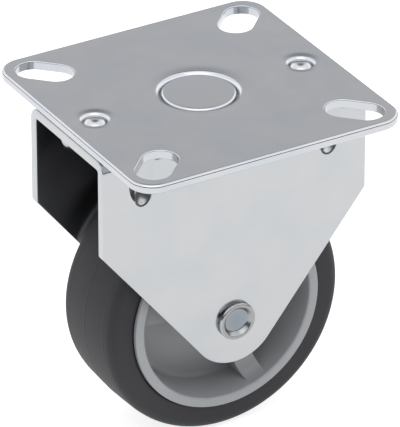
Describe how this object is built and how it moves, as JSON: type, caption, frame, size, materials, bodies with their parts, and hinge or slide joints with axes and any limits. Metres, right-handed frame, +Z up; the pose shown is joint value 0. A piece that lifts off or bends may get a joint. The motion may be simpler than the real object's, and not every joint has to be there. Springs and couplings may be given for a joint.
{
  "type": "fixed castor",
  "caption": "Fixed castor: square slotted top plate, folded steel fork, and a plastic wheel with a soft tyre that turns on a riveted axle.",
  "frame": {"origin": "centre of the top plate's upper face", "axes": "+X the rolling direction, +Y along the axle, +Z up, out of the plate's upper face"},
  "size_m": [0.0556, 0.0556, 0.0667],
  "materials": {
    "plate_zinc": "bright zinc plating, satin",
    "fork_zinc": "bright zinc plating, satin",
    "rivet_steel": "bright zinc plating, polished",
    "hub_plastic": "light grey moulded plastic",
    "tyre_rubber": "dark grey soft tread"
  },
  "bodies": {
    "bracket": {"mounting_plate": "plate_zinc", "fork": "fork_zinc", "axle_rivet": "rivet_steel", "axle_tube": "rivet_steel"},
    "wheel": {"wheel_hub": "hub_plastic", "tyre": "tyre_rubber"}
  },
  "joints": [
    {"name": "wheel_spin", "type": "hinge", "parent": "bracket", "child": "wheel", "pos_m": [0, 0, -0.04175], "axis": [0, 1, 0], "continuous": true}
  ]
}
